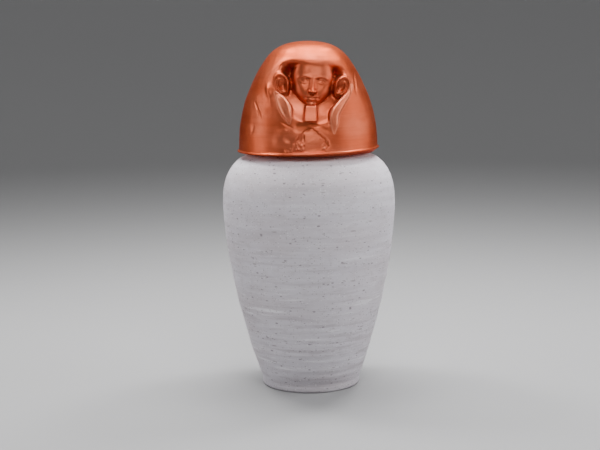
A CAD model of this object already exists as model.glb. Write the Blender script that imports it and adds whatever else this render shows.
import math
import bmesh
import bpy
import numpy as np
from mathutils import Matrix, Vector


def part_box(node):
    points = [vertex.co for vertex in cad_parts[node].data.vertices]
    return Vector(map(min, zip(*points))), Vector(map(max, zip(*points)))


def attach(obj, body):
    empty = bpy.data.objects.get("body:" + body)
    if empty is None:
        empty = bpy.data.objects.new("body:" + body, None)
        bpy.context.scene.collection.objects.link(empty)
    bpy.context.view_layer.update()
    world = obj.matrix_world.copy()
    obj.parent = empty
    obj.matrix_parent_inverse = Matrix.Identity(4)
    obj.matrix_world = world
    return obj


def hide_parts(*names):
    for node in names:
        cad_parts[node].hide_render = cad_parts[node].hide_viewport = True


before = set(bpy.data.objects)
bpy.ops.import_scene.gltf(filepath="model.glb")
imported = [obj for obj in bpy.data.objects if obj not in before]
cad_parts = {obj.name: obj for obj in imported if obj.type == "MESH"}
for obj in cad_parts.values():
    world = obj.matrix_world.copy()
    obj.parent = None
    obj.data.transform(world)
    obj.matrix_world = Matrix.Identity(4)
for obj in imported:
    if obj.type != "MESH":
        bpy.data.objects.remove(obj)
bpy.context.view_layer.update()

mm = 0.001
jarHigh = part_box("jar")[1]
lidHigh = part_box("head_lid")[1]
jarHeight = jarHigh.z / mm
lidGap = 0.3
seatZ = jarHeight + lidGap  # the lid's flat underside, in mm
lidHeight = lidHigh.z / mm - seatZ

print("stage: camera, floor and lights")

cameraSizes = dict(distance=0.696, height=0.193, azimuth=-3.5, down=8.4, roll=-0.8, pan=0.427, lens=74.9)


def makeCamera(s):
    camera = bpy.data.objects.new("camera", bpy.data.cameras.new("camera"))
    turn = math.radians(s["azimuth"])
    camera.location = (s["distance"] * math.sin(turn), -s["distance"] * math.cos(turn), s["height"])
    heading = Matrix.Rotation(math.radians(s["azimuth"] + s["pan"]), 4, "Z")
    tilt = Matrix.Rotation(math.radians(90 - s["down"]), 4, "X")
    roll = Matrix.Rotation(math.radians(s["roll"]), 4, "Z")
    camera.rotation_euler = (heading @ tilt @ roll).to_euler()
    camera.data.lens = s["lens"]
    camera.data.sensor_width = 36
    camera.data.clip_start, camera.data.clip_end = 0.01, 20
    bpy.context.scene.collection.objects.link(camera)
    bpy.context.scene.camera = camera


makeCamera(cameraSizes)

# place and aim in metres, size across, watts, colour
lights = {
    "overLeft": dict(at=(-0.24, 0.18, 0.58), aim=(0, 0, 0.16), size=0.12, power=2.3, colour=(1, 0.99, 0.98)),
    "overRight": dict(at=(0.24, 0.18, 0.58), aim=(0, 0, 0.16), size=0.12, power=2.3, colour=(1, 0.99, 0.99)),
    "overhead": dict(at=(0, 0.12, 0.62), aim=(0, 0, 0.15), size=0.3, power=3.6, colour=(1, 1, 1)),
    "front": dict(at=(0.04, -0.42, 0.62), aim=(0, 0, 0.12), size=0.3, power=2.9, colour=(1, 1, 1)),
    "sideLeft": dict(at=(-0.5, -0.02, 0.27), aim=(0, 0, 0.13), size=0.28, power=0.8, colour=(0.98, 0.98, 1)),
    "sideRight": dict(at=(0.5, -0.06, 0.27), aim=(0, 0, 0.13), size=0.32, power=1.5, colour=(0.98, 0.98, 1)),
    "room": dict(at=(0, 0.6, 2.0), aim=(0, 0.6, 0), size=1.6, power=14.0, colour=(1, 1, 1)),
}


def makeLight(name, s):
    light = bpy.data.objects.new(name, bpy.data.lights.new(name, "AREA"))
    light.location = s["at"]
    light.rotation_euler = (Vector(s["aim"]) - light.location).to_track_quat("-Z", "Y").to_euler()
    light.data.size = s["size"]
    light.data.energy = s["power"]
    light.data.color = s["colour"]
    light.visible_camera = False
    bpy.context.scene.collection.objects.link(light)


for name, s in lights.items():
    makeLight(name, s)

world = bpy.data.worlds.new("studio")
world.use_nodes = True
world.node_tree.nodes["Background"].inputs["Color"].default_value = (0.86, 0.87, 0.89, 1)
world.node_tree.nodes["Background"].inputs["Strength"].default_value = 0.07
bpy.context.scene.world = world

print("stage: materials")


def addNode(tree, kind, **settings):
    node = tree.nodes.new(kind)
    for key, value in settings.items():
        if key in node.inputs:
            node.inputs[key].default_value = value
        else:
            setattr(node, key, value)
    return node


def newMaterial(name):
    material = bpy.data.materials.new(name)
    material.use_nodes = True
    tree = material.node_tree
    return material, tree, tree.nodes["Principled BSDF"]


def mathNode(tree, operation, a, b=None):
    node = addNode(tree, "ShaderNodeMath", operation=operation)
    for socket, value in zip(node.inputs, (a, b)):
        if value is None:
            continue
        if isinstance(value, (int, float)):
            socket.default_value = value
        else:
            tree.links.new(value, socket)
    return node.outputs[0]


# fine lines left by printing in layers, as a height from 0 to 1, and slow bands of brightness up the piece
def makeLayerGroup():
    group = bpy.data.node_groups.new("layerLines", "ShaderNodeTree")
    group.interface.new_socket("Vector", in_out="INPUT", socket_type="NodeSocketVector")
    group.interface.new_socket("Lines per metre", in_out="INPUT", socket_type="NodeSocketFloat")
    group.interface.new_socket("Wobble", in_out="INPUT", socket_type="NodeSocketFloat")
    group.interface.new_socket("Height", in_out="OUTPUT", socket_type="NodeSocketFloat")
    group.interface.new_socket("Bands", in_out="OUTPUT", socket_type="NodeSocketFloat")
    start = group.nodes.new("NodeGroupInput")
    end = group.nodes.new("NodeGroupOutput")
    parts = addNode(group, "ShaderNodeSeparateXYZ")
    group.links.new(start.outputs["Vector"], parts.inputs[0])
    slow = addNode(group, "ShaderNodeTexNoise", Scale=30.0, Detail=2.0)
    group.links.new(start.outputs["Vector"], slow.inputs["Vector"])
    shift = mathNode(group, "MULTIPLY", slow.outputs["Fac"], start.outputs["Wobble"])
    turns = mathNode(group, "MULTIPLY", parts.outputs["Z"], start.outputs["Lines per metre"])
    angle = mathNode(group, "MULTIPLY", mathNode(group, "ADD", turns, shift), math.tau)
    half = mathNode(group, "MULTIPLY", mathNode(group, "SINE", angle), 0.5)
    group.links.new(mathNode(group, "ADD", half, 0.5), end.inputs["Height"])
    flat = addNode(group, "ShaderNodeMapping")
    flat.inputs["Scale"].default_value = (32, 32, 420)
    group.links.new(start.outputs["Vector"], flat.inputs["Vector"])
    bands = addNode(group, "ShaderNodeTexNoise", Scale=1.0, Detail=4.0, Roughness=0.6)
    group.links.new(flat.outputs[0], bands.inputs["Vector"])
    group.links.new(bands.outputs["Fac"], end.inputs["Bands"])
    return group


layerGroup = makeLayerGroup()


def placeLayers(tree, coordinates, linesPerMetre, wobble):
    node = addNode(tree, "ShaderNodeGroup", node_tree=layerGroup)
    node.inputs["Lines per metre"].default_value = linesPerMetre
    node.inputs["Wobble"].default_value = wobble
    tree.links.new(coordinates, node.inputs["Vector"])
    return node


def stretchedNoise(tree, coordinates, scale, detail=2.0, roughness=0.5):
    mapping = addNode(tree, "ShaderNodeMapping")
    mapping.inputs["Scale"].default_value = scale
    tree.links.new(coordinates, mapping.inputs["Vector"])
    texture = addNode(tree, "ShaderNodeTexNoise", Scale=1.0, Detail=detail, Roughness=roughness)
    tree.links.new(mapping.outputs[0], texture.inputs["Vector"])
    return texture.outputs["Fac"]


def ramp(tree, value, low, high, lowOut=0.0, highOut=1.0):
    node = addNode(tree, "ShaderNodeMapRange", interpolation_type="SMOOTHSTEP")
    node.inputs["From Min"].default_value = low
    node.inputs["From Max"].default_value = high
    node.inputs["To Min"].default_value = lowOut
    node.inputs["To Max"].default_value = highOut
    tree.links.new(value, node.inputs["Value"])
    return node.outputs["Result"]


def mixColour(tree, factor, a, b, blend="MIX"):
    node = addNode(tree, "ShaderNodeMix", data_type="RGBA", blend_type=blend)
    for socket, value in zip((node.inputs["Factor"], node.inputs[6], node.inputs[7]), (factor, a, b)):
        if isinstance(value, bpy.types.NodeSocket):
            tree.links.new(value, socket)
        else:
            socket.default_value = value
    return node.outputs[2]


# a tint laid over the colour as a pattern's value runs from low to high, at most as strong as its share
def tinted(tree, colour, value, s, mask=None):
    strength = ramp(tree, value, s["low"], s["high"], 0, s["share"])
    if mask is not None:
        strength = mathNode(tree, "MULTIPLY", strength, mask)
    return mixColour(tree, strength, colour, s["tint"])


# layer lines and grain as one bump; the shares say how much of the lines and the grain go in
def bumpFrom(tree, parts, strength, distance):
    height = None
    for value, share in parts:
        part = value if share == 1 else mathNode(tree, "MULTIPLY", value, share)
        height = part if height is None else mathNode(tree, "ADD", height, part)
    bump = addNode(tree, "ShaderNodeBump", Strength=strength, Distance=distance)
    tree.links.new(height, bump.inputs["Height"])
    return bump.outputs[0]


marbleLook = dict(
    base=(0.70, 0.665, 0.72, 1), lines=5000, wobble=0.35, bumpStrength=0.35, bumpDepth=0.00012, lineShare=0.6,
    roughness=(0.62, 0.84), grain=(900, 900, 900), specular=0.35,
    clouds=dict(low=0.4, high=0.68, share=0.75, tint=(0.60, 0.54, 0.57, 1)), cloudScale=(14, 14, 40),
    mottle=dict(low=0.48, high=0.72, share=0.3, tint=(0.50, 0.445, 0.47, 1)), mottleScale=(170, 170, 300),
    streaks=dict(low=0.52, high=0.75, share=0.38, tint=(0.45, 0.40, 0.435, 1)),
    paleBands=dict(low=0.46, high=0.28, share=0.35, tint=(0.80, 0.775, 0.82, 1)),
    dullScrape=dict(low=0.48, high=0.36, share=0.5, tint=(0.45, 0.40, 0.435, 1)),
    chalkScrape=dict(low=0.57, high=0.66, share=0.65, tint=(0.9, 0.88, 0.92, 1)), scrapeScale=(24, 24, 330),
    scrapeFrom=0.12, scrapeFull=0.04, scrapeHigh=0.25, speckBend=(0.0005, 0.0005, 0.0003),
)
# cells to the metre across and up, the share of cells left empty, spot size and colour
specks = [
    dict(cells=(900, 900, 1400), empty=0.74, size=0.24, colour=(0.36, 0.315, 0.34, 1)),
    dict(cells=(400, 400, 800), empty=0.86, size=0.24, colour=(0.27, 0.23, 0.255, 1)),
    dict(cells=(190, 190, 700), empty=0.95, size=0.2, colour=(0.4, 0.35, 0.375, 1)),
    dict(cells=(800, 800, 1500), empty=0.75, size=0.2, colour=(0.88, 0.87, 0.88, 1)),
]


# one kind of speck, each in its own cell, some cells left empty
def specked(tree, colour, place, speck):
    mapping = addNode(tree, "ShaderNodeMapping")
    mapping.inputs["Scale"].default_value = speck["cells"]
    tree.links.new(place, mapping.inputs["Vector"])
    cells = addNode(tree, "ShaderNodeTexVoronoi", Scale=1.0, Randomness=1.0)
    tree.links.new(mapping.outputs[0], cells.inputs["Vector"])
    chosen = addNode(tree, "ShaderNodeSeparateColor")
    tree.links.new(cells.outputs["Color"], chosen.inputs[0])
    keep = mathNode(tree, "GREATER_THAN", chosen.outputs[0], speck["empty"])
    size = mathNode(tree, "MULTIPLY", chosen.outputs[1], speck["size"])
    near = mathNode(tree, "SUBTRACT", cells.outputs["Distance"], size)
    spot = mathNode(tree, "MULTIPLY", keep, ramp(tree, near, 0.05, 0.2, 0.85, 0))
    return mixColour(tree, spot, colour, speck["colour"])


def makeMarble(look):
    material, tree, shader = newMaterial("marblePrint")
    coordinates = addNode(tree, "ShaderNodeTexCoord").outputs["Object"]
    clouds = stretchedNoise(tree, coordinates, look["cloudScale"], 3.0, 0.55)
    colour = tinted(tree, look["base"], clouds, look["clouds"])
    mottle = stretchedNoise(tree, coordinates, look["mottleScale"], 3.0, 0.6)
    colour = tinted(tree, colour, mottle, look["mottle"])
    layers = placeLayers(tree, coordinates, look["lines"], look["wobble"])
    bands = layers.outputs["Bands"]
    colour = tinted(tree, colour, bands, look["streaks"])
    colour = tinted(tree, colour, bands, look["paleBands"])
    height = addNode(tree, "ShaderNodeSeparateXYZ")
    tree.links.new(coordinates, height.inputs[0])
    low = ramp(tree, height.outputs["Z"], look["scrapeFrom"], look["scrapeFull"], look["scrapeHigh"], 1)
    scrape = stretchedNoise(tree, coordinates, look["scrapeScale"], 5.0, 0.65)
    colour = tinted(tree, colour, scrape, look["dullScrape"], low)
    colour = tinted(tree, colour, scrape, look["chalkScrape"], low)
    bend = addNode(tree, "ShaderNodeTexNoise", Scale=400.0, Detail=1.0)
    tree.links.new(coordinates, bend.inputs["Vector"])
    bent = addNode(tree, "ShaderNodeVectorMath", operation="MULTIPLY_ADD")
    tree.links.new(bend.outputs["Color"], bent.inputs[0])
    bent.inputs[1].default_value = look["speckBend"]
    tree.links.new(coordinates, bent.inputs[2])
    for speck in specks:
        colour = specked(tree, colour, bent.outputs[0], speck)
    tree.links.new(colour, shader.inputs["Base Color"])
    grain = stretchedNoise(tree, coordinates, look["grain"], 3.0, 0.6)
    tree.links.new(ramp(tree, grain, 0.3, 0.7, *look["roughness"]), shader.inputs["Roughness"])
    parts = [(layers.outputs["Height"], look["lineShare"]), (grain, 1), (bands, 1)]
    normal = bumpFrom(tree, parts, look["bumpStrength"], look["bumpDepth"])
    tree.links.new(normal, shader.inputs["Normal"])
    shader.inputs["Specular IOR Level"].default_value = look["specular"]
    return material


copperLook = dict(
    base=(0.6, 0.11, 0.045, 1), lines=5000, wobble=0.3, bumpStrength=0.3, bumpDepth=0.0001, grainShare=0.7,
    roughness=(0.29, 0.41), grain=(700, 700, 1800), metallic=0.85, specular=0.3, edge=(0.22, 0.06, 0.03, 1),
    clouds=dict(low=0.35, high=0.7, share=0.5, tint=(0.72, 0.178, 0.09, 1)), cloudScale=(60, 60, 110),
    bands=dict(low=0.45, high=0.72, share=0.35, tint=(0.42, 0.058, 0.021, 1)),
    grime=0.7, dark=(0.24, 0.045, 0.016, 1), rub=0.65, worn=(0.95, 0.31, 0.17, 1),
)


# the lid's own attributes darken its recesses and rub its raised edges paler
def makeCopper(look):
    material, tree, shader = newMaterial("copperPrint")
    coordinates = addNode(tree, "ShaderNodeTexCoord").outputs["Object"]
    clouds = stretchedNoise(tree, coordinates, look["cloudScale"], 3.0, 0.55)
    colour = tinted(tree, look["base"], clouds, look["clouds"])
    layers = placeLayers(tree, coordinates, look["lines"], look["wobble"])
    colour = tinted(tree, colour, layers.outputs["Bands"], look["bands"])
    for name, share, tint in (("shade", "grime", "dark"), ("worn", "rub", "worn")):
        amount = addNode(tree, "ShaderNodeAttribute", attribute_name=name).outputs["Fac"]
        colour = mixColour(tree, mathNode(tree, "MULTIPLY", amount, look[share]), colour, look[tint])
    tree.links.new(colour, shader.inputs["Base Color"])
    grain = stretchedNoise(tree, coordinates, look["grain"], 3.0, 0.6)
    tree.links.new(ramp(tree, grain, 0.3, 0.7, *look["roughness"]), shader.inputs["Roughness"])
    parts = [(layers.outputs["Height"], 1), (grain, look["grainShare"])]
    normal = bumpFrom(tree, parts, look["bumpStrength"], look["bumpDepth"])
    tree.links.new(normal, shader.inputs["Normal"])
    shader.inputs["Metallic"].default_value = look["metallic"]
    shader.inputs["Specular Tint"].default_value = look["edge"]
    shader.inputs["Specular IOR Level"].default_value = look["specular"]
    return material


def makeFloorLook(s):
    material, tree, shader = newMaterial("paleFloor")
    shader.inputs["Base Color"].default_value = s["colour"]
    shader.inputs["Roughness"].default_value = s["roughness"]
    return material


marblePrint = makeMarble(marbleLook)
copperPrint = makeCopper(copperLook)


def bell(x, width):
    return np.exp(-((x / width) ** 2))


def rise(low, high, value):
    t = np.clip((value - low) / (high - low), 0, 1)
    return t * t * (3 - 2 * t)


def mix(a, b, t):
    return a + (b - a) * t


# a smooth curve through rows of (place, value)
def along(rows, place):
    at, value = (np.array(column, float) for column in zip(*rows))
    after = np.minimum(np.arange(len(at)) + 1, len(at) - 1)
    before = np.maximum(np.arange(len(at)) - 1, 0)
    slope = (value[after] - value[before]) / (at[after] - at[before])
    place = np.clip(place, at[0], at[-1])
    i = np.clip(np.searchsorted(at, place) - 1, 0, len(at) - 2)
    span = at[i + 1] - at[i]
    t = (place - at[i]) / span
    eased = t * t * (3 - 2 * t)
    bend = slope[i] * t * (1 - t) ** 2 - slope[i + 1] * t * t * (1 - t)
    return mix(value[i], value[i + 1], eased) + span * bend


def readPoints(mesh):
    flat = np.empty(len(mesh.vertices) * 3)
    mesh.vertices.foreach_get("co", flat)
    return flat.reshape(-1, 3)


def writePoints(mesh, points):
    mesh.vertices.foreach_set("co", points.ravel())
    mesh.update()


def toObject(bm, name):
    bmesh.ops.recalc_face_normals(bm, faces=bm.faces)
    mesh = bpy.data.meshes.new(name)
    bm.to_mesh(mesh)
    bm.free()
    made = bpy.data.objects.new(name, mesh)
    bpy.context.scene.collection.objects.link(made)
    return made


def bake(made):
    bpy.context.view_layer.update()
    evaluated = made.evaluated_get(bpy.context.evaluated_depsgraph_get())
    mesh = bpy.data.meshes.new_from_object(evaluated)
    old = made.data
    made.modifiers.clear()
    made.data = mesh
    bpy.data.meshes.remove(old)


# a line of (radius, height) points spun into a full turn
def spun(points, steps):
    bm = bmesh.new()
    chain = [bm.verts.new((r, 0, z)) for r, z in points]
    edges = [bm.edges.new(pair) for pair in zip(chain, chain[1:])]
    bmesh.ops.spin(
        bm, geom=chain + edges, axis=(0, 0, 1), cent=(0, 0, 0), steps=steps, angle=math.tau, use_merge=True,
    )
    bmesh.ops.remove_doubles(bm, verts=bm.verts, dist=1e-6)
    return bm


def finishPiece(made, material, slot, *nodes):
    made.data.transform(Matrix.Scale(mm, 4))
    made.data.polygons.foreach_set("use_smooth", [True] * len(made.data.polygons))
    made.data.materials.clear()
    made.data.materials.append(material)
    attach(made, "root")
    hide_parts(*nodes)


# in metres, like the places of the camera and lights
stageSizes = dict(
    flat=1.3, curve=0.7, top=2.4, steps=96, curveRows=16, colour=(0.34, 0.34, 0.345, 1), roughness=0.9,
)


# a round floor that sweeps up into a wall, so that no edge of it shows from any side
def makeFloor(s):
    points = [(0, 0)]
    for i in range(s["curveRows"] + 1):
        turn = i / s["curveRows"] * math.pi / 2
        points.append((s["flat"] + s["curve"] * math.sin(turn), s["curve"] * (1 - math.cos(turn))))
    points.append((s["flat"] + s["curve"], s["top"]))
    bm = spun(points, s["steps"])
    bmesh.ops.recalc_face_normals(bm, faces=bm.faces)
    if bm.faces[0].normal.z < 0:
        bmesh.ops.reverse_faces(bm, faces=bm.faces)
    for face in bm.faces:
        face.smooth = True
    mesh = bpy.data.meshes.new("floor")
    bm.to_mesh(mesh)
    bm.free()
    floor = bpy.data.objects.new("floor", mesh)
    bpy.context.scene.collection.objects.link(floor)
    mesh.materials.append(makeFloorLook(s))


makeFloor(stageSizes)

print("stage: jar")

jarSizes = dict(
    footRadius=28, footHeight=4.5, footBevel=1.6, footInset=0.4, footLap=1.4, footBlend=3, bellyHeight=103,
    taper=1.65, shoulder=2.6, shoulderEnd=28, shoulderTurn=0.47 * math.pi, lipRadius=31, lipSoft=0.5,
    mouthRadius=27, mouthBevel=0.3, neckDepth=3.2, wall=3, floor=4, floorCurve=3,
    steps=200, bevelRows=6, sideRows=150, shoulderRows=40, insideRows=30,
    waves=((3.1, 0.035, 2), (4.7, 0.05, 1), (7.9, 0.07, 3), (13, 0.09, 2), (29, 0.12, 1)),
)


def jarRadius(z, s):
    belly = jarHigh.x / mm
    if z > s["bellyHeight"]:
        t = (z - s["bellyHeight"]) / (jarHeight - s["bellyHeight"])
        return mix(s["shoulderEnd"], belly, math.sqrt(1 - t ** s["shoulder"]))
    t = max((z - s["footHeight"]) / (s["bellyHeight"] - s["footHeight"]), 0)
    return mix(s["footRadius"], belly, 1 - (1 - t) ** s["taper"])


def jarOutline(s):
    points = [(0, 0)]
    bevel, sideFrom = s["footBevel"], s["footHeight"] - s["footLap"]
    for i in range(s["bevelRows"] + 1):
        turn = i / s["bevelRows"] * math.pi / 2
        radius = s["footRadius"] - s["footInset"] - bevel * (1 - math.sin(turn))
        points.append((radius, bevel * (1 - math.cos(turn))))
    for i in range(s["sideRows"] + 1):
        z = mix(sideFrom, s["bellyHeight"], i / s["sideRows"])
        inset = s["footInset"] * (1 - rise(sideFrom, s["footHeight"] + s["footBlend"], z))
        points.append((jarRadius(z, s) - inset, z))
    for i in range(1, s["shoulderRows"] + 1):
        z = mix(s["bellyHeight"], jarHeight, math.sin(i / s["shoulderRows"] * s["shoulderTurn"]))
        points.append((jarRadius(z, s), z))
    bevel, mouthBottom = s["mouthBevel"], jarHeight - s["neckDepth"]
    points += [(s["lipRadius"] + s["lipSoft"], jarHeight - bevel / 2), (s["lipRadius"], jarHeight)]
    points += [(s["mouthRadius"] + bevel, jarHeight), (s["mouthRadius"], jarHeight - bevel)]
    points.append((s["mouthRadius"], mouthBottom))
    for i in range(s["insideRows"] + 1):
        z = mix(mouthBottom - s["wall"], s["floor"] + s["floorCurve"], i / s["insideRows"])
        points.append((jarRadius(z, s) - s["wall"], z))
    return points + [(jarRadius(s["floor"], s) - s["wall"] - s["floorCurve"], s["floor"]), (0, s["floor"])]


# the wall is a little uneven in rings, like thrown clay, and more so towards the foot
def wavyWall(made, s):
    co = readPoints(made.data)
    reach = np.hypot(co[:, 0], co[:, 1])
    turn = np.arctan2(co[:, 0], -co[:, 1])
    z = co[:, 2]
    outline = np.array([jarRadius(min(max(height, 0), jarHeight), s) for height in z])
    outer = (np.abs(reach - outline) < 1) * rise(2, 7, z) * (1 - rise(jarHeight - 9, jarHeight - 3, z))
    wave = np.zeros(len(co))
    for k, (length, size, lobes) in enumerate(s["waves"]):
        drift = 0.9 * np.sin(lobes * turn + 1.3 * k) + 0.5 * np.sin((lobes + 2) * turn + 2.1 * k)
        fade = 0.55 + 0.45 * np.sin(lobes * turn + 0.7 * k + z / 23)
        wave += size * np.sin(math.tau * z / length + drift + k) * fade
    grow = outer * wave * (1.25 - 0.75 * z / jarHeight) / np.maximum(reach, 1)
    co[:, 0] *= 1 + grow
    co[:, 1] *= 1 + grow
    writePoints(made.data, co)


jar = toObject(spun(jarOutline(jarSizes), jarSizes["steps"]), "marbleJar")
wavyWall(jar, jarSizes)
finishPiece(jar, marblePrint, "marble_print", "jar")

print("stage: lid, rough forms")

wigSizes = dict(
    side=[(0, 38.7), (14, 37.9), (27, 35.1), (38, 30.7), (48, 25.3), (55, 19.7), (59, 13), (61, 0)],
    front=[(0, 38.7), (15, 36.8), (27, 34.7), (38, 32.4), (49, 29.5), (55, 25), (59, 17), (61, 0)],
    back=[(0, 38.7), (14, 38.1), (27, 36.2), (38, 33), (48, 28.2), (55, 22), (59, 14.2), (61, 0)],
    bottom=1.6, foot=2.2, slope=0.0207, slopeEnd=12, crown=50, steps=180, rows=120,
)


def wigHalf(name, z):
    squares = [(height, half * half) for height, half in wigSizes[name]]
    return np.sqrt(np.maximum(along(squares, z), 0))


def wigRadius(turn, z):
    front = np.where(np.cos(turn) > 0, wigHalf("front", z), wigHalf("back", z))
    across = np.sin(turn) / np.maximum(wigHalf("side", z), 1e-6)
    ahead = np.cos(turn) / np.maximum(front, 1e-6)
    return 1 / np.hypot(across, ahead)


def wigFrontAt(x, z):
    return wigHalf("front", z) * np.sqrt(np.maximum(1 - (x / wigHalf("side", z)) ** 2, 0))


# the lid's foot climbs towards +X; the climb fades out up the wall
def footClimb(x, z):
    return wigSizes["slope"] * x * (1 - rise(0, wigSizes["slopeEnd"], z))


# the closed body of the wig, as a spun form pressed into its real outline
def makeWig(s):
    points = [(0, s["bottom"])]
    for i in range(s["rows"] + 1):
        turn = i / s["rows"] * math.pi / 2
        points.append((math.cos(turn) if i < s["rows"] else 0, mix(s["bottom"], lidHeight, math.sin(turn))))
    made = toObject(spun(points, s["steps"]), "copperLid")
    co = readPoints(made.data)
    turn = np.arctan2(co[:, 0], -co[:, 1])
    radius = np.where(np.hypot(co[:, 0], co[:, 1]) > 1e-6, wigRadius(turn, co[:, 2]), 0)
    co[:, 0] = np.sin(turn) * radius
    co[:, 1] = -np.cos(turn) * radius
    co[:, 2] += footClimb(co[:, 0], co[:, 2])
    writePoints(made.data, co)
    return made


headSizes = dict(x=0, chin=25.8, lean=0.09)


def fromHead(x, front, z):
    c, s = math.cos(headSizes["lean"]), math.sin(headSizes["lean"])
    return np.stack([headSizes["x"] + x * c + z * s, -front, headSizes["chin"] + z * c - x * s], -1)


def toHead(co):
    c, s = math.cos(headSizes["lean"]), math.sin(headSizes["lean"])
    x, z = co[:, 0] - headSizes["x"], co[:, 2] - headSizes["chin"]
    return x * c - z * s, -co[:, 1], z * c + x * s


openingSizes = dict(
    half=[(0, 24.7), (9, 24.5), (16, 23.7), (18.6, 21), (19.2, 16),
          (19, 9.5), (15.4, 1.5), (11.2, -5), (7, -8), (0, -9.4)],
    floor=[(-11, 35.8), (-7, 35), (-3.5, 33.7), (2, 29.6), (10, 22.6), (24, 17.6)],
    cap=45, bend=0.011, lowTurn=1.6, lowFrom=0.9, softFrom=0.62, softLow=11, softHigh=18, over=0.4,
    steps=96, rings=24, lastRing=0.02,
)


# rings of points round a middle, filled from a front cap down to a floor
def makeOpeningCutter(s):
    corners = s["half"] + [(-x, z) for x, z in reversed(s["half"][1:-1])]
    count = len(corners)
    loop = np.array(corners * 3, float)
    places = list(range(len(loop)))
    t = np.linspace(count, 2 * count, s["steps"], endpoint=False)
    x = along(list(zip(places, loop[:, 0])), t)
    z = along(list(zip(places, loop[:, 1])), t)
    middle = (x.mean(), z.mean())
    bm = bmesh.new()
    bmesh.ops.create_circle(bm, cap_ends=False, segments=s["steps"], radius=1)
    bm.verts.ensure_lookup_table()
    ring = list(bm.verts)
    for i, vert in enumerate(ring):
        vert.co = (x[i], -s["cap"], z[i])
    edges = list(bm.edges)
    firstEdges = edges
    for k in range(s["rings"] + 1):
        made = bmesh.ops.extrude_edge_only(bm, edges=edges)["geom"]
        edges = [part for part in made if isinstance(part, bmesh.types.BMEdge)]
        ring = [part for part in made if isinstance(part, bmesh.types.BMVert)]
        share = 1 - k / s["rings"] if k < s["rings"] else s["lastRing"]
        for i, vert in enumerate(ring):
            px, pz = mix(middle[0], x[i], share), mix(middle[1], z[i], share)
            floor = float(along(s["floor"], pz)) - s["bend"] * px * px
            wigX, _, wigZ = fromHead(px, 0, pz)
            low = floor + s["lowTurn"] * float(rise(s["lowFrom"], 1, share))
            edge = float(wigFrontAt(wigX, wigZ)) + s["over"]
            high = mix(floor, edge, float(rise(s["softFrom"], 1, share)))
            vert.co = (px, -mix(low, high, float(rise(s["softLow"], s["softHigh"], pz))), pz)
    bmesh.ops.contextual_create(bm, geom=edges)
    bmesh.ops.contextual_create(bm, geom=firstEdges)
    bmesh.ops.triangulate(bm, faces=[face for face in bm.faces if len(face.verts) > 4])
    made = toObject(bm, "openingCutter")
    co = readPoints(made.data)
    writePoints(made.data, fromHead(co[:, 0], -co[:, 1], co[:, 2]))
    return made


faceSizes = dict(
    height=24, halfWidth=11.6, narrow=2.6, back=20.5, bottom=-0.2, top=27, backDepth=5, columns=160, rows=110,
    front=[(0, 29.6), (2, 30.3), (7, 30.5), (13, 29.8), (18, 29.3), (22, 28.8), (24.6, 28.3), (27, 26)],
)
# place, half sizes and how far out: the soft forms of the face, the same on both sides
swells = {
    "socket": (4.6, 14.1, 3.0, 2.0, -1.5),
    "innerSocket": (2.3, 14.6, 1.1, 1.3, -0.55),
    "eyeball": (4.6, 13.9, 2.05, 1.35, 1.35),
    "wing": (1.85, 8.75, 0.85, 1.0, 1.5),
    "tip": (0, 9.0, 1.25, 1.2, 0.45),
    "mouthRound": (0, 5.4, 4.4, 3.1, 0.95),
    "corner": (3.75, 5.2, 0.8, 0.7, -0.35),
    "underLip": (0, 3.15, 2.4, 0.7, -0.45),
    "chin": (0, 1.5, 2.8, 1.7, 1.15),
    "cheek": (6.1, 9.4, 3.0, 3.3, 0.75),
    "cheekbone": (7.8, 11.6, 2.2, 1.6, 0.45),
}


def faceHalf(z):
    widest = 0.55 * faceSizes["height"]
    low = np.clip((widest - z) / (widest + 0.2), 0, 1)
    high = np.clip((z - widest) / (faceSizes["height"] - widest), 0, 2)
    return faceSizes["halfWidth"] * np.sqrt(1 - low ** 1.9) - faceSizes["narrow"] * high ** 2


def faceRelief(x, z):
    side = np.abs(x)
    out = np.zeros_like(x)
    for px, pz, halfWidth, halfHeight, height in swells.values():
        out += height * bell(side - px, halfWidth) * bell(z - pz, halfHeight)
    browLine = z - 16.3 + 0.055 * (side - 4.4) ** 2
    out += 0.65 * bell(browLine, 0.8) * rise(0.4, 2.0, side) * (1 - rise(7.4, 9.4, side))
    down = np.clip((15.7 - z) / 7.7, 0, 1)
    ends = rise(7.5, 8.5, z) * (1 - rise(14.6, 17.6, z))
    out += mix(0.9, 3.5, down ** 1.15) * ends * bell(side, mix(1.05, 1.45, down))
    return out


# eyelids, nostrils, the groove under the nose and the lips, laid over the soft forms
def faceDetail(x, z):
    side = np.abs(x)
    span = (side - 4.6) / 2.25
    lid = np.clip(1 - span ** 2, 0, 1)
    upper = z - 13.95 - 1.15 * lid
    lower = z - 13.75 + 0.8 * lid
    opened = rise(1.08, 0.9, np.abs(span))
    out = 0.3 * bell(upper - 0.1, 0.26) - 0.22 * bell(upper - 0.75, 0.3) + 0.2 * bell(lower + 0.1, 0.26)
    out *= opened
    out -= 0.28 * opened * rise(0.15, -0.2, upper) * rise(-0.15, 0.2, lower)
    out -= 0.75 * bell(side - 1.15, 0.42) * bell(z - 7.75, 0.36)
    out -= 0.3 * bell(side - 2.75, 0.3) * bell(z - 8.7, 1.1)
    underNose = rise(6.1, 6.7, z) * rise(7.9, 7.3, z)
    out += (0.12 * bell(side - 0.85, 0.3) - 0.22 * bell(side, 0.4)) * underNose
    reach = rise(3.7, 2.4, side)
    bow = 5.15 + 0.16 * bell(side - 1.2, 0.9) - 0.12 * bell(side, 0.5) + 0.03 * side
    out += 0.42 * reach * bell(z - bow - 0.72, 0.5) * (1 - 0.3 * bell(side, 0.5))
    out += 0.5 * reach * bell(z - bow + 0.85, 0.62)
    out -= 0.5 * rise(4.1, 3.2, side) * bell(z - bow, 0.24)
    return out


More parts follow.
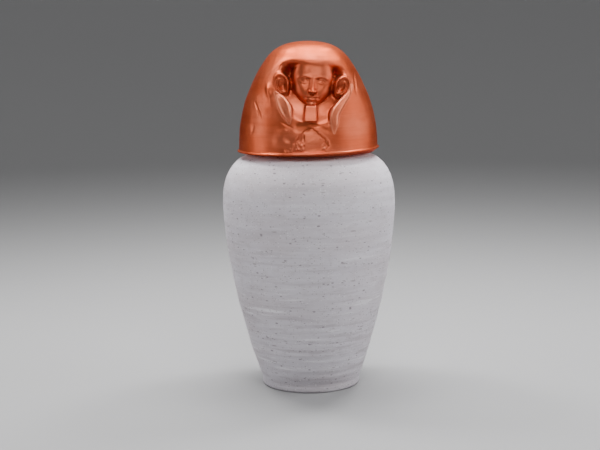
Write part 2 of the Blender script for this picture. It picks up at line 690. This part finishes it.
def faceFrontAt(x, z):
    half = np.maximum(faceHalf(z), 1e-3)
    square = 2 + 0.5 * rise(10, 21, z)  # the forehead is broader than the chin
    bulge = np.clip(1 - np.abs(x / half) ** square, 0, 1) ** (1 / square)
    depth = along(faceSizes["front"], z) - faceSizes["back"]
    return faceSizes["back"] + depth * bulge + faceRelief(x, z) * np.sqrt(bulge)


def makeFace(s):
    bm = bmesh.new()
    bmesh.ops.create_uvsphere(bm, u_segments=s["columns"], v_segments=s["rows"], radius=1)
    made = toObject(bm, "faceForm")
    co = readPoints(made.data)
    z = mix(s["bottom"], s["top"], np.arccos(np.clip(-co[:, 2], -1, 1)) / math.pi)
    angle = np.arctan2(co[:, 0], -co[:, 1])
    pole = np.hypot(co[:, 0], co[:, 1]) < 1e-4
    x = np.where(pole, 0, faceHalf(z)) * np.sin(angle)
    out = np.where(np.cos(angle) > 0, faceFrontAt(x, z) - s["back"], s["backDepth"] * np.cos(angle))
    writePoints(made.data, fromHead(x, s["back"] + np.where(pole, 0, out), z))
    return made


earSizes = {
    -1: dict(x=16.3, z=10.9, front=25, halfWidth=4.6, halfHeight=6.9, turn=0.2, tilt=0.36, lobe=0.72),
    1: dict(x=15.6, z=12.1, front=25, halfWidth=4.6, halfHeight=6.6, turn=0.2, tilt=0.36, lobe=0.72),
}


# u runs from the face outwards, v up, both from -1 to 1 inside the ear
def earRelief(u, v):
    reach = np.hypot(u, v)
    lobe = rise(0.35, 0.85, -v)
    faceSide = rise(0.45, 0.9, -u) * rise(0.2, -0.4, v)
    rim = bell(reach - 0.82, 0.15) * (1 - lobe) * (1 - 0.85 * faceSide)
    out = 0.5 + 1.35 * rim - 0.3 * lobe * reach
    inner = bell(reach - 0.47, 0.13) * rise(-0.3, 0.3, u)
    out += 0.75 * inner * (1 - rise(0.2, 0.7, -v)) * (1 - rise(0.4, 0.75, v))
    c, sn = math.cos(0.75), math.sin(0.75)  # the inner ridge leans as it runs up and back over the hollow
    du, dv = u + 0.16, v - 0.36
    out += 0.4 * bell(du * c + dv * sn, 0.1) * bell(dv * c - du * sn, 0.26)
    out -= 1.3 * bell(u + 0.12, 0.36) * bell(v + 0.1, 0.4)
    out += 0.9 * bell(u + 0.7, 0.2) * bell(v + 0.16, 0.22)
    out += 0.5 * bell(u, 0.26) * bell(v + 0.58, 0.13)
    return out * (1 - rise(0.94, 1.03, reach))


def earWidth(up, s):
    return s["halfWidth"] * mix(s["lobe"], 1, rise(-s["halfHeight"], 1, up))


def fromEar(u, v, off, side, s):
    up = s["halfHeight"] * v
    wide = earWidth(up, s) * u * side
    c, sn = math.cos(s["tilt"]), side * math.sin(s["tilt"])
    across = wide * c + up * sn
    tc, ts = math.cos(s["turn"]), side * math.sin(s["turn"])
    x = side * s["x"] + across * tc + off * ts
    return fromHead(x, s["front"] + off * tc - across * ts, s["z"] + up * c - wide * sn)


def toEar(co, side, s):
    x, front, z = toHead(co)
    x, front, z = x - side * s["x"], front - s["front"], z - s["z"]
    tc, ts = math.cos(s["turn"]), side * math.sin(s["turn"])
    across, off = x * tc - front * ts, x * ts + front * tc
    c, sn = math.cos(s["tilt"]), side * math.sin(s["tilt"])
    wide, up = across * c - z * sn, across * sn + z * c
    return wide * side / earWidth(up, s), up / s["halfHeight"], off


def makeEar(side, s):
    bm = bmesh.new()
    bmesh.ops.create_uvsphere(bm, u_segments=72, v_segments=96, radius=1)
    made = toObject(bm, "earForm")
    co = readPoints(made.data)
    polar = np.arccos(np.clip(co[:, 2], -1, 1)) / math.pi  # 0 at the ear's middle, 1 at its root
    angle = np.arctan2(co[:, 0], co[:, 1])
    share = np.where(polar < 0.62, np.clip(polar / 0.6, 0, 1), 1 - (polar - 0.62) / 0.38 * 0.3)
    share = np.where(polar > 0.999, 0, share)
    u, v = np.sin(angle) * share, np.cos(angle) * share
    off = np.where(polar < 0.62, earRelief(u, v), -7 * rise(0.6, 0.85, polar))
    writePoints(made.data, fromEar(u, v, off, side, s))
    return made


beardSizes = dict(
    top=27.3, bottom=18.9, xTop=-0.1, xBottom=-0.9, halfTop=3.1, halfBottom=3.55, back=24,
    frontTop=33, frontBottom=37.4, bevel=0.55, keepOff=5,
)


def makeBeard(s):
    bm = bmesh.new()
    bmesh.ops.create_cube(bm, size=2)
    for vert in bm.verts:
        down = (1 - vert.co.z) / 2
        half = mix(s["halfTop"], s["halfBottom"], down)
        front = mix(s["frontTop"], s["frontBottom"], down)
        middle = mix(s["xTop"], s["xBottom"], down)
        y = mix(-front, -s["back"], (vert.co.y + 1) / 2)
        vert.co = (middle + vert.co.x * half, y, mix(s["top"], s["bottom"], down))
    bmesh.ops.bevel(
        bm, geom=bm.edges, offset=s["bevel"], segments=3, profile=0.5, affect="EDGES", material=-1,
    )
    return toObject(bm, "beardForm")


# the thick front edges of the wig: rows of x, height, half width and how far the roll stands out
lappets = {
    "left": [(-18.6, 33.8, 1.2, 0.6), (-16, 30.2, 2.8, 1.5), (-14.1, 26.4, 3.6, 2.3),
             (-12.9, 22.2, 2.6, 2.4), (-12.1, 18.4, 1, 1)],
    "right": [(22.4, 37, 0.9, 0.5), (20.2, 32.6, 1.5, 1.2), (15.6, 27.5, 2.3, 2.1),
              (12.2, 22.6, 2.8, 2.4), (11.9, 17.2, 2.3, 1.8), (11.8, 12.6, 0.7, 0.7)],
}


lappetForm = dict(columns=32, rows=64, root=1.2, back=3, flat=0.7, taper=1.35, tip=0.6, step=0.01)


# one column of the rows, followed smoothly as t counts along them
def follow(rows, part, t):
    return along([(k, row[part]) for k, row in enumerate(rows)], t)


def makeLappet(rows, s):
    bm = bmesh.new()
    bmesh.ops.create_uvsphere(bm, u_segments=s["columns"], v_segments=s["rows"], radius=1)
    made = toObject(bm, "lappetForm")
    co = readPoints(made.data)
    ring = np.hypot(co[:, 0], co[:, 1])
    t = (1 - co[:, 2]) / 2 * (len(rows) - 1)
    x, z, half, out = (follow(rows, part, t) for part in range(4))
    dx = follow(rows, 0, t + s["step"]) - x
    dz = follow(rows, 1, t + s["step"]) - z
    length = np.maximum(np.hypot(dx, dz), 1e-9)
    ends = np.minimum(ring * s["taper"], 1) ** s["tip"]
    wide = np.divide(co[:, 0], ring, out=np.zeros_like(ring), where=ring > 1e-6)
    deep = np.divide(-co[:, 1], ring, out=np.zeros_like(ring), where=ring > 1e-6)
    px = x + dz / length * wide * half * ends
    pz = z - dx / length * wide * half * ends
    top = np.sign(deep) * np.abs(deep) ** s["flat"]
    raised = np.where(deep > 0, (out + s["root"]) * top, s["back"] * top) * ends
    writePoints(made.data, np.stack([px, s["root"] - wigFrontAt(px, pz) - raised, pz], -1))
    return made


def cut(made, cutter):
    step = made.modifiers.new("cut", "BOOLEAN")
    step.operation = "DIFFERENCE"
    step.object = cutter
    bake(made)
    bpy.data.objects.remove(cutter)


def joinInto(made, others):
    bm = bmesh.new()
    bm.from_mesh(made.data)
    for other in others:
        bm.from_mesh(other.data)
        bpy.data.objects.remove(other)
    bm.to_mesh(made.data)
    bm.free()


# the size of the skin's faces keeps the finished lid under 200,000 triangles
skinSize = 0.62

lid = makeWig(wigSizes)
cut(lid, makeOpeningCutter(openingSizes))
forms = [makeFace(faceSizes)] + [makeEar(side, earSizes[side]) for side in (-1, 1)] + [makeBeard(beardSizes)]
joinInto(lid, forms + [makeLappet(rows, lappetForm) for rows in lappets.values()])

remesh = lid.modifiers.new("skin", "REMESH")
remesh.mode = "VOXEL"
remesh.voxel_size = skinSize
remesh.adaptivity = 0
bake(lid)
print("lid skin faces", len(lid.data.polygons))

print("stage: lid, carving")


axes = dict(use_axis_x=True, use_axis_y=True, use_axis_z=True)


def smoothWhere(made, choose, times):
    bm = bmesh.new()
    bm.from_mesh(made.data)
    chosen = choose(readPoints(made.data))
    verts = [vert for vert, picked in zip(bm.verts, chosen) if picked]
    for _ in range(times):
        bmesh.ops.smooth_vert(bm, verts=verts, factor=0.5, **axes)
    bm.to_mesh(made.data)
    bm.free()


def refineWhere(made, choose):
    bm = bmesh.new()
    bm.from_mesh(made.data)
    chosen = choose(readPoints(made.data))
    edges = [edge for edge in bm.edges if chosen[edge.verts[0].index] and chosen[edge.verts[1].index]]
    bmesh.ops.subdivide_edges(bm, edges=edges, cuts=1, use_grid_fill=True, smooth=0.6)
    bm.to_mesh(made.data)
    bm.free()


def restoreWig(made):
    co = readPoints(made.data)
    z = co[:, 2] - footClimb(co[:, 0], co[:, 2])
    turn = np.arctan2(co[:, 0], -co[:, 1])
    miss = wigRadius(turn, z) - np.hypot(co[:, 0], co[:, 1])
    hold = (1 - rise(0.15, 0.4, np.abs(miss))) * (1 - rise(wigSizes["crown"], wigSizes["crown"] + 5, z))
    hold *= z > wigSizes["bottom"] + 0.8
    beard = np.abs(co[:, 0] - beardSizes["xBottom"]) < beardSizes["keepOff"]
    beard &= (z > beardSizes["bottom"]) & (z < beardSizes["top"]) & (co[:, 1] < 0)
    hold *= ~beard
    co[:, 0] += np.sin(turn) * miss * hold
    co[:, 1] -= np.cos(turn) * miss * hold
    writePoints(made.data, co)


# places with fine work: left, right, bottom, top, and the depth in front of which they lie; first the
# face and chest, then the two gouges
fineAreas = [(-24, 24, 2.2, 50.5, -19), (-31, -25, 18.5, 30.5, -14), (22.4, 27.2, 32, 44, -14)]
# the chest below the beard, whose skin is smoothed before it is carved
underBeardArea = (-12, 12, 10.5, 17.2, -25)
# in the head's frame: the wig's edge over the forehead and over the hollows beside it
edgeArea = dict(aside=9.5, over=22, reach=22, low=14, high=27.5, front=18)


def within(co, area):
    left, right, low, high, front = area
    x, y, z = co.T
    return (x > left) & (x < right) & (z > low) & (z < high) & (y < front)


def inFront(co):
    return np.any([within(co, area) for area in fineAreas], axis=0)


def underBeard(co):
    return within(co, underBeardArea)


def aboveFoot(co):
    return co[:, 2] > wigSizes["foot"]


def hollowEdge(co, s=edgeArea):
    x, front, z = toHead(co)
    beside = (np.abs(x) > s["aside"]) | (z > s["over"])
    return beside & (np.abs(x) < s["reach"]) & (z > s["low"]) & (z < s["high"]) & (front > s["front"])


def drapeFace(made):
    co = readPoints(made.data)
    x, front, z = toHead(co)
    half = np.maximum(faceHalf(z), 1e-3)
    target = faceFrontAt(x, z) + faceDetail(x, z)
    hold = (1 - rise(0.84, 0.95, np.abs(x) / half)) * rise(0.5, 1.8, z) * (1 - rise(21.5, 23.5, z))
    hold *= np.abs(target - front) < 1.6
    writePoints(made.data, fromHead(x, front + (target - front) * hold, z))


def drapeEar(made, side, s):
    co = readPoints(made.data)
    u, v, off = toEar(co, side, s)
    reach = np.hypot(u, v)
    target = earRelief(u, v)
    hold = (1 - rise(0.9, 1.0, reach)) * (np.abs(target - off) < 1.8)
    moved = fromEar(u, v, off + (target - off) * hold, side, s)
    writePoints(made.data, np.where((reach < 1.02)[:, None], moved, co))


# low waves in space with fixed directions, between about -1 and 1
def unevenness(co, length):
    out = np.zeros(len(co))
    for k in range(7):
        turn, tip = 2.4 * k + 0.3, 0.9 * k + 0.5
        way = np.array((math.cos(turn) * math.cos(tip), math.sin(turn) * math.cos(tip), math.sin(tip)))
        out += np.sin(co @ way * (math.tau / length) * (0.7 + 0.13 * k) + 1.7 * k)
    return out / 3.5


# marks in the front of the wig: x, height, half width, half height, lean and how far in (minus is out)
marks = {
    "underBeard": (-4.4, 16.0, 3.8, 2.4, 0.0, 1.3),
    "underBeardRight": (1.0, 17.0, 2.6, 0.9, -0.1, 1.0),
    "foldUnderLeft": (-13.4, 17.1, 2.6, 0.45, -0.45, 0.5),
    "swellUnderLeft": (-15.2, 14.2, 2.4, 1.6, 0.2, -0.5),
    "dipUnderLeft": (-12.6, 9.3, 2.0, 1.4, 0.0, 0.35),
    "swellLeft": (-17.0, 8.4, 3.6, 2.8, 0.2, -0.35),
    "hollowLeft": (-21.0, 9.0, 2.0, 6.0, 0.05, 0.2),
    "ridgeLeft": (-22.2, 35.4, 1.3, 3.2, 0.05, -1.0),
    "ridgeLeftLow": (-21.7, 30.2, 1.0, 3.2, 0.1, -0.35),
    "gougeLeft": (-28.1, 24.4, 0.5, 3.9, 0.32, 0.55),
    "dentLeft": (-31.2, 14.2, 0.7, 1.8, -0.2, 0.3),
    "bumpLeft": (-33.2, 15.7, 1.2, 1.8, 0.0, -0.12),
    "gougeRight": (24.7, 38.1, 0.55, 3.8, 0.06, 0.7),
    "rightOfBeard": (6.5, 14.6, 2.6, 1.0, -0.5, 0.25),
    "rightOfChest": (10.0, 6.2, 1.5, 3.6, 0.0, 0.3),
    "chestGroove": (-4.6, 10.2, 0.4, 2.0, 0.0, 0.4),
    "chestLeft": (-6.6, 9.3, 1.7, 1.0, 0.7, 0.35),
    "rimNotch": (-11.5, 1.6, 0.8, 0.5, 0.0, 0.5),
}
# the worn patch on the chest: its outline in clockwise order, how deep it lies and how soft its edges are
chest = dict(
    outline=[(-10.2, 2.4), (-9.8, 7.7), (-3.3, 14.6), (0.4, 15.4), (7.8, 8.4), (8.6, 5.8), (5.4, 2.4)],
    depth=0.6, soft=0.3, wander=0.3, wanderLength=3.1, rim=0.2, rimOut=0.7, rimWidth=0.5,
    foot=2.6, footFade=0.8,
)
# small crumbs of rough surface: x, height, half width, half height, how rough
crumbs = [
    (-8.0, 7.2, 1.2, 0.9, 0.9), (-5.5, 6.3, 1.1, 1.3, 0.8), (-7.6, 4.7, 1.3, 1.1, 1.0),
    (-5.4, 4.2, 0.9, 1.2, 0.8), (-13.6, 3.4, 1.1, 0.8, 0.9), (-12.0, 4.1, 0.9, 0.8, 0.7),
    (4.9, 10.2, 0.8, 0.7, 0.6), (7.0, 7.6, 0.9, 1.2, 0.8), (6.2, 4.8, 1.0, 1.3, 0.7),
]


grooveSizes = dict(depth=0.4, width=0.45, samples=48, edge=0.72, edgeWidth=0.3, middle=0.45)


# down the middle of a lappet runs a groove, so that both its edges stand up; they are rubbed paler
def lappetGroove(x, z, rows, s):
    t = np.linspace(0, len(rows) - 1, s["samples"])
    px, pz, half = (follow(rows, part, t) for part in range(3))
    away = np.hypot(x[:, None] - px, z[:, None] - pz) / half
    nearest = away.argmin(axis=1)
    away = away.min(axis=1)
    worn = np.maximum(bell(away - s["edge"], s["edgeWidth"]), s["middle"] * bell(away, s["edge"]))
    return s["depth"] * half[nearest] / half.max() * bell(away, s["width"]), worn


def outwards(co):
    turn = np.arctan2(co[:, 0], -co[:, 1])
    return np.stack([np.sin(turn), -np.cos(turn), np.zeros(len(co))], -1)


def marksAt(x, z):
    sink = np.zeros(len(x))
    for px, pz, halfWidth, halfHeight, lean, depth in marks.values():
        c, sn = math.cos(lean), math.sin(lean)
        dx, dz = (x - px) * c + (z - pz) * sn, (z - pz) * c - (x - px) * sn
        sink += depth * np.exp(-np.abs(dx / halfWidth) ** 2.4 - np.abs(dz / halfHeight) ** 2.4)
    return sink


# the worn patch with a low rim round it, its outline wandering a little
def chestAt(co, s):
    x, z = co[:, 0], co[:, 2]
    inside = np.full(len(co), 9.0)
    for (ax, az), (bx, bz) in zip(s["outline"], s["outline"][1:]):
        across = (bz - az) * (x - ax) - (bx - ax) * (z - az)
        inside = np.minimum(inside, across / math.hypot(bx - ax, bz - az))
    inside += s["wander"] * unevenness(co, s["wanderLength"])
    sunk = rise(-s["soft"], s["soft"], inside) * rise(s["foot"] - s["footFade"], s["foot"], z)
    return s["depth"] * sunk - s["rim"] * bell(inside + s["rimOut"], s["rimWidth"])


# the darkening starts as a mark or a recess gets this deep, in mm, and is full at the second depth
carving = dict(
    front=-4, skinFrom=-1.9, skinFull=-0.9, markShade=(0.15, 0.6), recessShade=(0.6, 4.5), recessShare=0.3,
    roughLength=2.2, fineLength=1.3, crumbOut=0.35, crumbRough=0.6, swell=0.07, swellLength=9,
)


# moves the skin in and out and writes the two attributes that the copper reads
def carveWig(made, s):
    co = readPoints(made.data)
    x, z = co[:, 0], co[:, 2]
    front = co[:, 1] < s["front"]
    off = np.hypot(x, co[:, 1]) - wigRadius(np.arctan2(x, -co[:, 1]), z)
    skin = rise(s["skinFrom"], s["skinFull"], off)
    sink = marksAt(x, z)
    shade = np.maximum(rise(*s["markShade"], sink), s["recessShare"] * rise(*s["recessShade"], -off)) * front
    worn = np.zeros(len(co))
    for rows in lappets.values():
        groove, rubbed = lappetGroove(x, z, rows, grooveSizes)
        sink += groove
        worn = np.maximum(worn, rubbed)
    sink += chestAt(co, chest)
    rough = unevenness(co, s["roughLength"]) + 0.5 * unevenness(co[:, [2, 0, 1]], s["fineLength"])
    for px, pz, halfWidth, halfHeight, depth in crumbs:
        patch = np.exp(-np.abs((x - px) / halfWidth) ** 3 - np.abs((z - pz) / halfHeight) ** 3)
        sink -= depth * (s["crumbOut"] + s["crumbRough"] * rough) * patch
        worn = np.maximum(worn, depth * patch * rise(0, 1, rough))
    sink *= front * skin
    for name, values in (("shade", shade), ("worn", worn * front * skin)):
        attribute = made.data.attributes.new(name, "FLOAT", "POINT")
        attribute.data.foreach_set("value", values.astype(np.float32))
    sink += s["swell"] * unevenness(co, s["swellLength"]) * rise(2, 5, z)
    writePoints(made.data, co - outwards(co) * sink[:, None])


smoothWhere(lid, aboveFoot, 2)
restoreWig(lid)
smoothWhere(lid, underBeard, 14)
smoothWhere(lid, hollowEdge, 10)
refineWhere(lid, inFront)
smoothWhere(lid, inFront, 1)
drapeFace(lid)
for side in (-1, 1):
    drapeEar(lid, side, earSizes[side])
carveWig(lid, carving)

print("stage: lid, foot and plug")

footSizes = dict(
    plugRadius=26.3, plugDepth=7, plugBevel=0.8, seatRadius=36.3, lipRadius=39.5, lipLift=1.4, lipHeight=0.7,
    # the lip's rounded edge and the hollow curve from it up to the wig: how far in, and how far up
    edge=[(0.25, 0), (0, 0.2)], crest=[(0, -0.15), (0.2, 0.05), (0.75, 0.35), (1.25, 0.7)],
    innerRadius=37, top=3.4, slopeFull=1.2, steps=240,
)


def makeFoot(s):
    bevel, lip, lift = s["plugBevel"], s["lipRadius"], s["lipLift"]
    points = [(0, -s["plugDepth"]), (s["plugRadius"] - bevel, -s["plugDepth"])]
    points += [(s["plugRadius"], bevel - s["plugDepth"]), (s["plugRadius"], 0), (s["seatRadius"], 0)]
    points += [(lip - back, lift + up) for back, up in s["edge"]]
    points += [(lip - back, lift + s["lipHeight"] + up) for back, up in s["crest"]]
    points += [(s["innerRadius"], s["top"]), (0, s["top"])]
    made = toObject(spun(points, s["steps"]), "lidFoot")
    co = readPoints(made.data)
    co[:, 2] += wigSizes["slope"] * co[:, 0] * rise(0, s["slopeFull"], co[:, 2])
    writePoints(made.data, co)
    return made


def unite(made, other):
    step = made.modifiers.new("unite", "BOOLEAN")
    step.operation = "UNION"
    step.solver = "EXACT"
    step.object = other
    bake(made)
    bpy.data.objects.remove(other)


unite(lid, makeFoot(footSizes))
print("lid faces", len(lid.data.polygons))

lid.data.transform(Matrix.Translation((0, 0, seatZ)))
finishPiece(lid, copperPrint, "copper_print", "head_lid")

print("stage: sizes")
